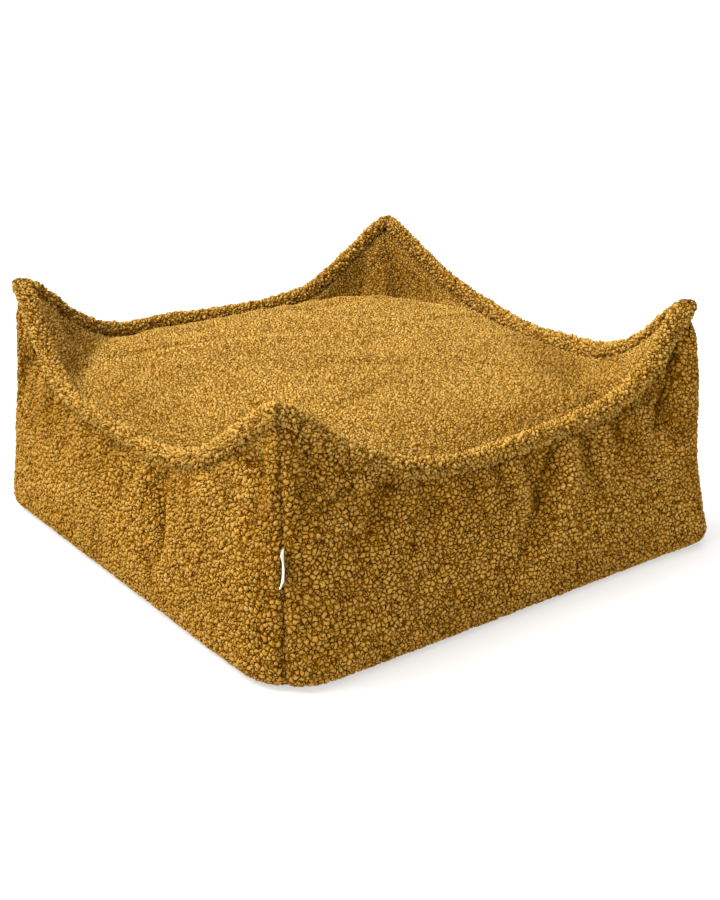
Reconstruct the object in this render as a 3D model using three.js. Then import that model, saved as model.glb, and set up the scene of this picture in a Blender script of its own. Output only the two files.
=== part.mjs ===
// A low square floor pouf of curly teddy cloth, filled, with its four top corners pulled up into peaks.
// Millimetres, +Z up. The origin is on the floor, under the middle of the base.
// The four corners are front (-X -Y, which bears the label), right (+X -Y), back (+X +Y) and left (-X +Y).
// The side panels run between them, counter-clockwise: front at -Y, right at +X, back at +Y, left at -X.
import * as THREE from "three";

// Driving sizes of the filled body
const RIM_LENGTH = 572; // from peak to peak, in plan
const CROWN_RISE = 38; // from the empty top panel up to the filled one
const CROWN_SQUARENESS = 2.7; // 2 for a crown that is round in plan, more for a squarer one
const CROWN_FLATNESS = 3; // 2 for a crown that is round in section, more for a flatter one
const WALL_FULLNESS = 9; // how far a side panel swells at its middle
const SEAM_DEPTH = 4.5; // the sewn groove down each corner
const SEAM_WIDTH = 6;
const SEAM_END = 0.8; // the level of a side panel at which the groove begins to fade, below the peak
const CORNER_REACH = 0.1; // the share of a side in which a corner's lift and flare fade out
const TURN_REACH = 0.06; // the share of a side in which its outward direction turns to the diagonal

// Driving sizes of the rim rolls and of the ledge that each one sits on
const LEDGE_OUT = 5; // the ledge's edges, outwards and inwards from the middle of the roll
const LEDGE_IN = 7;
const LEDGE_DROP = 8.5; // from the middle of the roll down to the ledge
const PIECE_GAP = 0.3; // between two pieces
const ROLL_LEAN = 0.14; // outward lean of a roll, as a share of its height
const TIP_SHARE = 0.06; // the share of a rim in which its section turns upright towards a peak

// Driving sizes of the folded tape label
const LABEL_HEIGHT = 36;
const LABEL_REACH = 17;
const LABEL_THICKNESS = 2.2;
const LABEL_MIDDLE = 141; // its middle above the floor
const LABEL_BOW = 3.6;
const LABEL_TURN = -3; // degrees off the diagonal
const LABEL_SLANT = 0.6; // how far its top leans sideways, as a share of its bow
const LABEL_CLEARANCE = 0.9; // from the bottom of the seam's groove, whose walls close in on it

// Numbers of steps in the meshes
const SIDE_STEPS = 36;
const WALL_STEPS = 11;
const SOFTENING_ROUNDS = 5;
const SOFTENING = 0.6;
const FOLD_MARGIN = 3; // steps in from the border in which the top panel's folds fade in
const LABEL_ROWS = 10;

const SIDES = ["front", "right", "back", "left"];

// The corner at which each side panel begins: the base's half width there, its plan radius,
// how far its bottom edge lifts off the floor and its foot flares out, and where its peak stands
const CORNERS = [
  { corner: "front", half: 324, radius: 74, lift: 6, flare: 0, peakX: 289, peakY: 284 },
  { corner: "right", half: 328, radius: 34, lift: 1, flare: 5, peakX: 286, peakY: 286 },
  { corner: "back", half: 322, radius: 60, lift: 4, flare: 2, peakX: 285, peakY: 285 },
  { corner: "left", half: 327, radius: 44, lift: 2, flare: 0, peakX: 291, peakY: 288 },
];

// The rounded edge of the base, from its flat face up to the side panel
const BASE_EDGE = [
  { inset: 26, height: 0 },
  { inset: 10, height: 1.5 },
  { inset: 3, height: 7 },
  { inset: 0, height: 18 },
];

const EDGE_TOP = BASE_EDGE[BASE_EDGE.length - 1].height;

// The path of each rim from peak to peak: the height of the roll's middle, and how far it bows out
const RIMS = {
  front: [
    { at: 0, height: 297, bow: 0 },
    { at: 0.03, height: 289, bow: 2 },
    { at: 0.1, height: 255, bow: 5 },
    { at: 0.225, height: 214, bow: 9 },
    { at: 0.36, height: 195, bow: 10 },
    { at: 0.5, height: 195, bow: 10 },
    { at: 0.64, height: 201, bow: 11 },
    { at: 0.775, height: 211, bow: 10 },
    { at: 0.9, height: 244, bow: 4 },
    { at: 0.97, height: 286, bow: 0 },
    { at: 1, height: 302, bow: 0 },
  ],
  right: [
    { at: 0, height: 302, bow: 0 },
    { at: 0.03, height: 288, bow: 0 },
    { at: 0.1, height: 249, bow: 3 },
    { at: 0.225, height: 213, bow: 9 },
    { at: 0.36, height: 202, bow: 16 },
    { at: 0.5, height: 199, bow: 19 },
    { at: 0.64, height: 212, bow: 19 },
    { at: 0.775, height: 233, bow: 16 },
    { at: 0.9, height: 271, bow: 7 },
    { at: 0.97, height: 293, bow: 2 },
    { at: 1, height: 299, bow: 0 },
  ],
  back: [
    { at: 0, height: 299, bow: 0 },
    { at: 0.03, height: 291, bow: 2 },
    { at: 0.1, height: 261, bow: 6 },
    { at: 0.225, height: 215, bow: 11 },
    { at: 0.36, height: 202, bow: 15 },
    { at: 0.5, height: 203, bow: 16 },
    { at: 0.64, height: 208, bow: 15 },
    { at: 0.775, height: 211, bow: 13 },
    { at: 0.9, height: 248, bow: 4 },
    { at: 0.97, height: 287, bow: 0 },
    { at: 1, height: 297, bow: 0 },
  ],
  left: [
    { at: 0, height: 297, bow: 0 },
    { at: 0.03, height: 283, bow: 0 },
    { at: 0.1, height: 241, bow: 4 },
    { at: 0.225, height: 201, bow: 14 },
    { at: 0.36, height: 194, bow: 18 },
    { at: 0.5, height: 189, bow: 15 },
    { at: 0.64, height: 189, bow: 10 },
    { at: 0.775, height: 212, bow: 7 },
    { at: 0.9, height: 262, bow: 3 },
    { at: 0.97, height: 290, bow: 0 },
    { at: 1, height: 297, bow: 0 },
  ],
};

// Soft folds and swellings of the side panels. at and footAt are places along the side, head and foot
// are shares of the panel's height, and depth is how far the fold is drawn in, or swells if negative.
const FOLDS = [
  { side: "front", at: 0.05, footAt: 0.13, head: 0.98, foot: 0.55, depth: 10, width: 16 },
  { side: "front", at: 0.2, footAt: 0.14, head: 0.98, foot: 0.4, depth: 5, width: 20 },
  { side: "front", at: 0.31, footAt: 0.27, head: 1, foot: 0.6, depth: 4, width: 16 },
  { side: "front", at: 0.54, footAt: 0.56, head: 1, foot: 0.45, depth: 8, width: 15 },
  { side: "front", at: 0.63, footAt: 0.65, head: 0.85, foot: 0.35, depth: -6, width: 24 },
  { side: "front", at: 0.72, footAt: 0.7, head: 1, foot: 0.5, depth: 6, width: 18 },
  { side: "front", at: 0.87, footAt: 0.93, head: 1, foot: 0.3, depth: 11, width: 26 },
  { side: "front", at: 0.975, footAt: 0.98, head: 0.96, foot: 0.4, depth: -11, width: 26 },
  { side: "right", at: 0.01, footAt: 0.01, head: 0.96, foot: 0.4, depth: -11, width: 26 },
  { side: "right", at: 0.1, footAt: 0.07, head: 1, foot: 0.4, depth: 9, width: 20 },
  { side: "right", at: 0.34, footAt: 0.37, head: 1, foot: 0.5, depth: 5, width: 18 },
  { side: "right", at: 0.62, footAt: 0.6, head: 1, foot: 0.45, depth: 6, width: 20 },
  { side: "right", at: 0.9, footAt: 0.93, head: 1, foot: 0.4, depth: 8, width: 22 },
  { side: "back", at: 0.11, footAt: 0.07, head: 1, foot: 0.4, depth: 8, width: 22 },
  { side: "back", at: 0.4, footAt: 0.42, head: 1, foot: 0.55, depth: 5, width: 16 },
  { side: "back", at: 0.68, footAt: 0.66, head: 1, foot: 0.45, depth: 6, width: 20 },
  { side: "back", at: 0.91, footAt: 0.94, head: 1, foot: 0.4, depth: 9, width: 20 },
  { side: "back", at: 0.985, footAt: 0.985, head: 0.97, foot: 0.4, depth: -6, width: 24 },
  { side: "left", at: 0.01, footAt: 0.01, head: 0.97, foot: 0.4, depth: -6, width: 24 },
  { side: "left", at: 0.09, footAt: 0.05, head: 1, foot: 0.45, depth: 10, width: 24 },
  { side: "left", at: 0.27, footAt: 0.24, head: 1, foot: 0.55, depth: 5, width: 26 },
  { side: "left", at: 0.62, footAt: 0.635, head: 1, foot: 0.4, depth: 6, width: 13 },
  { side: "left", at: 0.76, footAt: 0.75, head: 0.95, foot: 0.4, depth: -6, width: 26 },
  { side: "left", at: 0.93, footAt: 0.88, head: 0.98, foot: 0.5, depth: 7, width: 16 },
];

// Folds of the top panel, as long soft ridges or hollows about a middle: how far each one turns from X
// in degrees, its length and width, and how far it rises, or sinks if negative
const TOP_FOLDS = [
  { at: "rib up the front peak", x: -246, y: -242, turn: 45, length: 50, width: 18, rise: 5 },
  { at: "rib up the right peak", x: 238, y: -252, turn: -50, length: 55, width: 22, rise: 6 },
  { at: "rib up the back peak", x: 243, y: 238, turn: 45, length: 48, width: 15, rise: 7 },
  { at: "rib up the left peak", x: -246, y: 240, turn: -45, length: 50, width: 18, rise: 5 },
  { at: "hollow under the right rim", x: 256, y: 150, turn: 86, length: 85, width: 32, rise: -13 },
  { at: "hollow right of the back rib", x: 262, y: 212, turn: 60, length: 45, width: 20, rise: -5 },
  { at: "hollow left of the back rib", x: 216, y: 258, turn: 15, length: 45, width: 20, rise: -6 },
  { at: "swelling under the back rim", x: -185, y: 252, turn: 0, length: 75, width: 38, rise: 9 },
  { at: "hollow under the left peak", x: -252, y: 262, turn: -60, length: 40, width: 18, rise: -7 },
  { at: "crease across the crown", x: -128, y: 208, turn: -42, length: 75, width: 15, rise: -3 },
  { at: "hollow under the front rim", x: 150, y: -262, turn: 0, length: 60, width: 22, rise: -4 },
];

// The section of a rim roll, about its middle: flat below, where it sits on its ledge
const ROLL_SECTION = [
  { out: -6, up: -LEDGE_DROP + PIECE_GAP },
  { out: 5, up: -LEDGE_DROP + PIECE_GAP },
  { out: 8, up: -4.5 },
  { out: 8.4, up: 1.5 },
  { out: 5.8, up: 7 },
  { out: 0.4, up: 9.4 },
  { out: -5, up: 7.4 },
  { out: -8, up: 2 },
  { out: -8.2, up: -4 },
];

// A side's own directions: along it, and outwards from the middle
const ALONG = [new THREE.Vector3(1, 0, 0), new THREE.Vector3(0, 1, 0)];
ALONG.push(ALONG[0].clone().negate(), ALONG[1].clone().negate());
const OUTWARD = [ALONG[3], ALONG[0], ALONG[1], ALONG[2]];

function place(side, along, out, height) {
  return new THREE.Vector3(0, 0, height)
    .addScaledVector(ALONG[side], along)
    .addScaledVector(OUTWARD[side], out);
}

// Steps along a side, closer together towards its corners
function shareOf(step) {
  const even = step / SIDE_STEPS;
  return even - 0.1 * Math.sin(2 * Math.PI * even);
}

const RIM_CURVES = SIDES.map((side) => {
  const rows = RIMS[side];
  const places = rows.map((row) => row.at);
  const values = rows.flatMap((row) => [row.height, row.bow]);
  return new THREE.CubicInterpolant(places, values, 2);
});

// The slope of a rim, fading out towards its peaks, where the section stands upright
function rimTilt(side, share) {
  const step = 0.01;
  const before = RIM_CURVES[side].evaluate(Math.max(share - step, 0))[0];
  const after = RIM_CURVES[side].evaluate(Math.min(share + step, 1))[0];
  const slope = Math.atan2(after - before, 2 * step * RIM_LENGTH);
  return slope * THREE.MathUtils.smoothstep(Math.min(share, 1 - share), 0, TIP_SHARE);
}

// Where the peaks at the two ends of a side stand: along the side, and out from the middle
function peaksOf(side) {
  return [CORNERS[side], CORNERS[(side + 1) % 4]].map(({ peakX, peakY }) =>
    side % 2 === 0 ? { along: peakX, out: peakY } : { along: peakY, out: peakX },
  );
}

// A point beside the middle line of a rim, moved outwards and up across the line
function rimPoint(side, share, out, up, gap = 0) {
  const [height, bow] = RIM_CURVES[side].evaluate(share);
  const [start, end] = peaksOf(side);
  const tilt = rimTilt(side, share);
  const reach = out - gap;
  const along = THREE.MathUtils.lerp(-start.along - reach, end.along + reach, share);
  const middle = THREE.MathUtils.lerp(start.out, end.out, share) + bow;
  return place(side, along - up * Math.sin(tilt), middle + out, height + up * Math.cos(tilt));
}

// A point of the base's outline, drawn in by an inset, between the seams at a side's two corners
function baseOutline(side, share, inset) {
  const start = CORNERS[side];
  const end = CORNERS[(side + 1) % 4];
  const half = THREE.MathUtils.lerp(start.half, end.half, share);
  const quarter = Math.PI / 4;
  const straight = start.half + end.half - start.radius - end.radius;
  const arcs = [start.radius * quarter, end.radius * quarter];
  const travel = share * (arcs[0] + straight + arcs[1]);
  if (travel < arcs[0]) {
    const angle = quarter - travel / start.radius;
    const radius = start.radius - inset;
    const across = start.radius - radius * Math.sin(angle);
    return place(side, across - start.half, half - start.radius + radius * Math.cos(angle), 0);
  }
  if (travel > arcs[0] + straight) {
    const angle = (travel - arcs[0] - straight) / end.radius;
    const radius = end.radius - inset;
    const across = end.radius - radius * Math.sin(angle);
    return place(side, end.half - across, half - end.radius + radius * Math.cos(angle), 0);
  }
  return place(side, travel - arcs[0] + start.radius - start.half, half - inset, 0);
}

// How near a place along a side is to its first or second corner, from 1 at the seam to 0
function nearness(share, reach) {
  return [Math.exp(-((share / reach) ** 2)), Math.exp(-(((1 - share) / reach) ** 2))];
}

// The lift or flare that the corners give to a place along a side
function fromCorners(column, side, share) {
  const [first, second] = nearness(share, CORNER_REACH);
  return CORNERS[side][column] * first + CORNERS[(side + 1) % 4][column] * second;
}

function seamGroove(share) {
  const [first, second] = nearness(share, SEAM_WIDTH / RIM_LENGTH);
  return SEAM_DEPTH * (first + second);
}

// The direction in which a side panel swells: square to the side, turning to the diagonal at a seam
function swellDirection(side, share) {
  const [first, second] = nearness(share, TURN_REACH);
  return OUTWARD[side]
    .clone()
    .addScaledVector(ALONG[side], second - first)
    .normalize();
}

function foldDepth(side, share, level) {
  return FOLDS.filter((fold) => fold.side === SIDES[side]).reduce((sum, fold) => {
    const fallen = (fold.head - level) / (fold.head - fold.foot);
    const middle = THREE.MathUtils.lerp(fold.at, fold.footAt, fallen);
    const across = ((share - middle) * RIM_LENGTH) / (fold.width * (1 + 0.5 * Math.max(fallen, 0)));
    const start = THREE.MathUtils.smoothstep(fallen, -0.12, 0.14);
    const fade = 1 - THREE.MathUtils.smoothstep(fallen, 0.3, 1.25);
    return sum + fold.depth * start * fade * Math.exp(-across * across);
  }, 0);
}

// A point of a side panel: level runs from 0 at the top of the base's edge to 1 at the ledge
function wallPoint(side, share, level) {
  const head = rimPoint(side, share, LEDGE_OUT, -LEDGE_DROP);
  if (level === 1) {
    return head;
  }
  const foot = baseOutline(side, share, 0);
  foot.z = EDGE_TOP + fromCorners("lift", side, share);
  const groove = seamGroove(share) * (1 - THREE.MathUtils.smoothstep(level, SEAM_END, 1));
  const flare = fromCorners("flare", side, share) * (1 - level) ** 4;
  const fullness = WALL_FULLNESS * Math.sin(Math.PI * level ** 0.8) * Math.sin(Math.PI * share) ** 0.6;
  const swell = flare + fullness - foldDepth(side, share, level) - groove;
  return foot.lerp(head, level).addScaledVector(swellDirection(side, share), swell);
}

// A ring of points round the body, one side after the other, without a side's last point
function ring(pointAt) {
  return SIDES.flatMap((name, side) =>
    Array.from({ length: SIDE_STEPS }, (unused, step) => pointAt(side, shareOf(step))),
  );
}

// A ring of the base's rounded edge. The flat face stays on the floor, and what is above it lifts.
function edgeRing(row) {
  const part = row.height / EDGE_TOP;
  return ring((side, share) => {
    const point = baseOutline(side, share, row.inset);
    point.z = row.height + fromCorners("lift", side, share) * Math.sqrt(part);
    const swell = part * (fromCorners("flare", side, share) - seamGroove(share));
    return point.addScaledVector(swellDirection(side, share), swell);
  });
}

function rimHeight(side, share) {
  return RIM_CURVES[side].evaluate(share)[0] - LEDGE_DROP;
}

// The top panel drawn tight and empty, by shares of the way along X and Y from the front corner: level
// lines cross each corner from rim to rim, and a shallow pyramid joins the middles of the four rims
function tautHeight(x, y) {
  const fromMiddle = [Math.abs(x - 0.5), Math.abs(y - 0.5)];
  const reach = Math.max(fromMiddle[0] + fromMiddle[1], 1e-6);
  const rimShare = Math.min(1 - reach, 0.5);
  const alongX = x < 0.5 ? rimShare : 1 - rimShare;
  const alongY = y < 0.5 ? rimShare : 1 - rimShare;
  const rimX = y < 0.5 ? rimHeight(0, alongX) : rimHeight(2, 1 - alongX);
  const rimY = x < 0.5 ? rimHeight(3, 1 - alongY) : rimHeight(1, alongY);
  if (reach > 0.5) {
    return THREE.MathUtils.lerp(rimY, rimX, (0.5 - fromMiddle[0]) / (1 - reach));
  }
  const middle = SIDES.reduce((sum, name, side) => sum + rimHeight(side, 0.5) / 4, 0);
  const border = THREE.MathUtils.lerp(rimY, rimX, fromMiddle[1] / reach);
  return THREE.MathUtils.lerp(middle, border, 2 * reach);
}

// How far the filling lifts the top panel: a squarish dome that leaves the corners slack
function crownRise(x, y) {
  const squareness = CROWN_SQUARENESS;
  const reach = (Math.abs(2 * x - 1) ** squareness + Math.abs(2 * y - 1) ** squareness) ** (1 / squareness);
  return CROWN_RISE * Math.sqrt(Math.max(1 - reach ** CROWN_FLATNESS, 0));
}

// The top panel as a square net, held along the inner edge of the ledge
function topNet(border) {
  const last = SIDE_STEPS;
  const net = Array.from({ length: last + 1 }, () => Array(last + 1));
  for (let step = 0; step < last; step++) {
    net[0][step] = border[step];
    net[step][last] = border[last + step];
    net[last][last - step] = border[2 * last + step];
    net[last - step][0] = border[3 * last + step];
  }
  const inner = Array.from({ length: last - 1 }, (unused, index) => index + 1);
  for (const row of inner) {
    for (const column of inner) {
      const x = THREE.MathUtils.lerp(net[row][0].x, net[row][last].x, shareOf(column));
      const y = THREE.MathUtils.lerp(net[0][column].y, net[last][column].y, shareOf(row));
      const empty = tautHeight(shareOf(column), shareOf(row));
      net[row][column] = new THREE.Vector3(x, y, empty + crownRise(shareOf(column), shareOf(row)));
    }
  }
  for (let round = 0; round < SOFTENING_ROUNDS; round++) {
    for (const row of inner) {
      for (const column of inner) {
        const beside = [
          net[row - 1][column],
          net[row + 1][column],
          net[row][column - 1],
          net[row][column + 1],
        ];
        const mean = beside.reduce((sum, point) => sum + point.z / 4, 0);
        net[row][column].z = THREE.MathUtils.lerp(net[row][column].z, mean, SOFTENING);
      }
    }
  }
  return net;
}

function foldRise(point) {
  return TOP_FOLDS.reduce((sum, fold) => {
    const turn = THREE.MathUtils.degToRad(fold.turn);
    const x = point.x - fold.x;
    const y = point.y - fold.y;
    const along = (x * Math.cos(turn) + y * Math.sin(turn)) / fold.length;
    const across = (y * Math.cos(turn) - x * Math.sin(turn)) / fold.width;
    return sum + fold.rise * Math.exp(-along * along - across * across);
  }, 0);
}

function meshGeometry(points, triangles) {
  const geometry = new THREE.BufferGeometry().setFromPoints(points);
  geometry.setIndex(triangles.flat());
  geometry.computeVertexNormals();
  return geometry;
}

function quad(a, b, c, d) {
  return [[a, b, c], [a, c, d]];
}

function borderSteps(row, column) {
  return Math.min(row, column, SIDE_STEPS - row, SIDE_STEPS - column);
}

// The filled body: base, rounded edge, side panels, ledge and top panel, closed all round
function filledBodyGeometry() {
  const rings = BASE_EDGE.slice(0, -1).map(edgeRing);
  for (let step = 0; step <= WALL_STEPS; step++) {
    rings.push(ring((side, share) => wallPoint(side, share, step / WALL_STEPS)));
  }
  rings.push(ring((side, share) => rimPoint(side, share, -LEDGE_IN, -LEDGE_DROP)));
  const count = 4 * SIDE_STEPS;
  const points = rings.flat();
  const triangles = [];
  for (let level = 0; level < rings.length - 1; level++) {
    for (let step = 0; step < count; step++) {
      const next = (step + 1) % count;
      const low = level * count;
      triangles.push(...quad(low + step, low + next, low + count + next, low + count + step));
    }
  }
  const middle = points.push(new THREE.Vector3()) - 1;
  for (let step = 0; step < count; step++) {
    triangles.push([middle, (step + 1) % count, step]);
  }
  const border = (rings.length - 1) * count;
  const net = topNet(rings[rings.length - 1]);
  const last = SIDE_STEPS;
  const index = net.map((line, row) =>
    line.map((point, column) => {
      if (row === 0 && column < last) return border + column;
      if (column === last && row < last) return border + last + row;
      if (row === last && column > 0) return border + 2 * last + last - column;
      if (column === 0) return border + 3 * last + last - row;
      point.z += foldRise(point) * Math.min(1, borderSteps(row, column) / FOLD_MARGIN);
      return points.push(point) - 1;
    }),
  );
  for (let row = 0; row < last; row++) {
    for (let column = 0; column < last; column++) {
      const [near, far] = [index[row], index[row + 1]];
      triangles.push(...quad(near[column], near[column + 1], far[column + 1], far[column]));
    }
  }
  return meshGeometry(points, triangles);
}

// A rim roll: its section carried from peak to peak, mitred on the diagonals
function rimRollGeometry(side) {
  const count = ROLL_SECTION.length;
  const gap = PIECE_GAP * Math.SQRT1_2;
  const points = [];
  for (let step = 0; step <= SIDE_STEPS; step++) {
    ROLL_SECTION.forEach(({ out, up }) => {
      const lean = ROLL_LEAN * (up + LEDGE_DROP);
      points.push(rimPoint(side, shareOf(step), out + lean, up, gap));
    });
  }
  const triangles = [];
  for (let step = 0; step < SIDE_STEPS; step++) {
    for (let corner = 0; corner < count; corner++) {
      const next = (corner + 1) % count;
      const here = step * count;
      triangles.push(...quad(here + corner, here + count + corner, here + count + next, here + next));
    }
  }
  const end = SIDE_STEPS * count;
  for (let corner = 1; corner < count - 1; corner++) {
    triangles.push([0, corner, corner + 1], [end, end + corner + 1, end + corner]);
  }
  return meshGeometry(points, triangles);
}

// The label: a tape folded on itself, sewn edge on into the front corner's seam, bowed a little.
// Its own x runs out of the seam and its own y across the tape.
function labelGeometry() {
  const half = LABEL_THICKNESS / 2;
  const fold = LABEL_REACH - half;
  const outline = [
    { x: 0, y: -half / 2 },
    { x: fold / 3, y: -half },
    { x: fold, y: -half },
    { x: LABEL_REACH, y: -half / 3 },
    { x: LABEL_REACH, y: half / 3 },
    { x: fold, y: half },
    { x: fold / 3, y: half },
    { x: 0, y: half / 2 },
  ];
  const count = outline.length;
  const points = [];
  for (let row = 0; row <= LABEL_ROWS; row++) {
    const share = row / LABEL_ROWS;
    const bow = LABEL_BOW * (Math.sin(Math.PI * share) + LABEL_SLANT * share);
    outline.forEach(({ x, y }) => {
      const lie = bow * (x / LABEL_REACH) ** 1.5;
      points.push(new THREE.Vector3(x, y + lie, (share - 0.5) * LABEL_HEIGHT));
    });
  }
  const triangles = [];
  for (let row = 0; row < LABEL_ROWS; row++) {
    for (let corner = 0; corner < count; corner++) {
      const next = (corner + 1) % count;
      const low = row * count;
      triangles.push(...quad(low + corner, low + next, low + count + next, low + count + corner));
    }
  }
  const top = LABEL_ROWS * count;
  const strips = [[0, 1, 6, 7], [1, 2, 5, 6], [2, 3, 4, 5]];
  strips.forEach(([a, b, c, d]) => {
    triangles.push(...quad(d, c, b, a), ...quad(top + a, top + b, top + c, top + d));
  });
  return meshGeometry(points, triangles);
}

// Where the label leaves the seam: the bottom of the groove, at the levels beside the label's root
function seamDistance() {
  const levels = Array.from({ length: WALL_STEPS + 1 }, (unused, step) => wallPoint(0, 0, step / WALL_STEPS));
  const beside = levels.filter((point) => Math.abs(point.z - LABEL_MIDDLE) < LABEL_HEIGHT);
  return Math.max(...beside.map((point) => Math.hypot(point.x, point.y)));
}

const teddyCloth = new THREE.MeshStandardMaterial({ color: 0xb08434, roughness: 0.95, metalness: 0 });
const rolledCloth = new THREE.MeshStandardMaterial({ color: 0xa67b2f, roughness: 0.95, metalness: 0 });
const whiteTape = new THREE.MeshStandardMaterial({ color: 0xf2f1ec, roughness: 0.8, metalness: 0 });

const group = new THREE.Group();

const body = new THREE.Mesh(filledBodyGeometry(), teddyCloth);
body.name = "filled_body";
group.add(body);

SIDES.forEach((name, side) => {
  const roll = new THREE.Mesh(rimRollGeometry(side), rolledCloth.clone());
  roll.name = `rim_roll_${name}`;
  group.add(roll);
});

const label = new THREE.Mesh(labelGeometry(), whiteTape);
label.name = "label";
const labelRoot = (seamDistance() + LABEL_CLEARANCE) * Math.SQRT1_2;
label.position.set(-labelRoot, -labelRoot, LABEL_MIDDLE);
label.rotation.z = THREE.MathUtils.degToRad(LABEL_TURN - 135);
group.add(label);

export default group;
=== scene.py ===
import math

import bmesh
import bpy
import numpy as np
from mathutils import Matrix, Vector


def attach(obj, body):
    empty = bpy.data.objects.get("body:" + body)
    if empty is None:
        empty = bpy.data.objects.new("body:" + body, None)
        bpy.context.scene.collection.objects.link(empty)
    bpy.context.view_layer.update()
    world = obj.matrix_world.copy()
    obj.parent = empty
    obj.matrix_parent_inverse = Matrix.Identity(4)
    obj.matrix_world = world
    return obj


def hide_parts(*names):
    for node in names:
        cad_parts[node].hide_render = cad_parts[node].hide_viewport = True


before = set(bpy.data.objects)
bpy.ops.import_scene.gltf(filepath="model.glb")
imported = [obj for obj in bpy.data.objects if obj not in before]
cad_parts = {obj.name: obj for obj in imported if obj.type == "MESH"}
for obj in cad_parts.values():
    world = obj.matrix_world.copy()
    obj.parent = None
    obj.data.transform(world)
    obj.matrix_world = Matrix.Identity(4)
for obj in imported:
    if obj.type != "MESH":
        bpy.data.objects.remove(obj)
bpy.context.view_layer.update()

# The studio: a white floor that glows faintly, and lamps as wide as soft boxes, most of their light coming
# from the left and behind. The camera stands at the photograph's height and angle.
CAMERA_PLACE = Vector((-0.995067, -1.351846, 0.772843))
CAMERA_TARGET = Vector((0.032816, 0.015250, 0.084265))
CAMERA_LENS = 57.0
FLOOR_SIZE = 120.0
FLOOR_COLOUR = (0.36, 0.36, 0.36, 1)
FLOOR_GLOW = 0.52
ROOM_COLOUR = (1.0, 0.985, 0.96, 1)
ROOM_STRENGTH = 0.20
SOFT_LIGHTS = [
    # name, towards the light, width in degrees, strength, colour
    ("wide_light_behind_on_the_left", (-0.44, 0.40, 0.80), 38, 4.2, (1.0, 0.985, 0.95)),
    ("grazing_light_on_the_left", (-0.89, -0.22, 0.40), 22, 1.75, (1.0, 0.95, 0.87)),
    ("soft_light_overhead", (0.0, 0.1, 1.0), 60, 2.45, (1.0, 1.0, 0.99)),
    ("weak_fill_in_front", (0.45, -0.85, 0.30), 50, 1.35, (1.0, 0.95, 0.86)),
]

bpy.context.scene.view_settings.view_transform = "Standard"
camera = bpy.data.objects.new("camera", bpy.data.cameras.new("camera"))
bpy.context.scene.collection.objects.link(camera)
camera.location = CAMERA_PLACE
camera.rotation_euler = (CAMERA_TARGET - CAMERA_PLACE).to_track_quat("-Z", "Y").to_euler()
camera.data.lens = CAMERA_LENS
camera.data.sensor_width = 36
bpy.context.scene.camera = camera

for name, towards, width, strength, colour in SOFT_LIGHTS:
    lamp = bpy.data.lights.new(name, "SUN")
    lamp.angle = math.radians(width)
    lamp.energy = strength
    lamp.color = colour
    light = bpy.data.objects.new(name, lamp)
    light.rotation_euler = Vector(towards).to_track_quat("Z", "Y").to_euler()
    bpy.context.scene.collection.objects.link(light)

world = bpy.data.worlds.new("studio")
world.use_nodes = True
world.node_tree.nodes["Background"].inputs["Color"].default_value = ROOM_COLOUR
world.node_tree.nodes["Background"].inputs["Strength"].default_value = ROOM_STRENGTH
bpy.context.scene.world = world

bpy.ops.object.select_all(action="DESELECT")
bpy.ops.mesh.primitive_plane_add(size=FLOOR_SIZE, location=(0, 0, -0.0004))
floor = bpy.context.object
floor.name = "studio_floor"
floor_paint = bpy.data.materials.new("studio_floor")
floor_paint.use_nodes = True
floor_shader = floor_paint.node_tree.nodes["Principled BSDF"]
floor_shader.inputs["Base Color"].default_value = FLOOR_COLOUR
floor_shader.inputs["Roughness"].default_value = 0.9
floor_shader.inputs["Emission Color"].default_value = (1, 1, 1, 1)
floor_shader.inputs["Emission Strength"].default_value = FLOOR_GLOW
floor.data.materials.append(floor_paint)


# The teddy cloth of every panel and rim roll: a knitted backing, its pile tumbled into tight curls about
# 5 mm across. The curls are raised in the mesh, and the shader colours them by the same pattern: curl tops
# painted pale as a highlight, crevices painted dark as shade, and an uneven dye. Painted shade also darkens
# the folds, seams and base more than the lamps alone would, and painted light brightens the fold ridges,
# the top panel and the rim rolls.
CURL_PITCH = 0.0052
SMALL_CURL_PITCH = 0.0037
CURL_REACH = 0.0012
CREVICE_REACH = 0.00055
LARGE_DRIFT = (0.010, 0.006)
SMALL_DRIFT = (0.0023, 0.0019)
WHOLE_CURL_PITCH = 0.006
WHOLE_CURL_REACH = 0.0014
CREVICE_BLEND = 0.0004
SWELL_PITCH = 0.03
TUFT_PITCH = 0.007
FIBRE_PITCH = 0.0011
FIBRE_RELIEF = 0.0009
FLAT_CURL_RELIEF = 0.0011
OPEN_CURL_RELIEF = 0.0015
OPENING_PITCH = 0.0052
DYE_PITCH = 0.11
# The crevice colour is painted shade in the pile's hollows, and the top colour is a painted highlight on the
# curl tops. Both are mixed over the side colour by the curls' height.
CURL_COLOURS = {
    "crevice": (0.052, 0.013, 0.0002, 1),
    "side": (0.33, 0.142, 0.004, 1),
    "top": (0.49, 0.318, 0.086, 1),
}


class Socket:
    """A node's output, as a number that sums can be written with: each sum adds Math nodes to its tree."""

    def __init__(self, tree, output):
        self.tree = tree
        self.output = output

    def sum(self, operation, *values):
        return add_node(self.tree, "ShaderNodeMath", {"operation": operation}, dict(enumerate(values)))

    def __add__(self, other):
        return self.sum("ADD", self, other)

    def __sub__(self, other):
        return self.sum("SUBTRACT", self, other)

    def __rsub__(self, other):
        return self.sum("SUBTRACT", other, self)

    def __mul__(self, other):
        return self.sum("MULTIPLY", self, other)

    __radd__ = __add__
    __rmul__ = __mul__

    def clamped(self, low=0.0, high=1.0):
        return self.sum("MINIMUM", self.sum("MAXIMUM", self, low), high)


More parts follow.
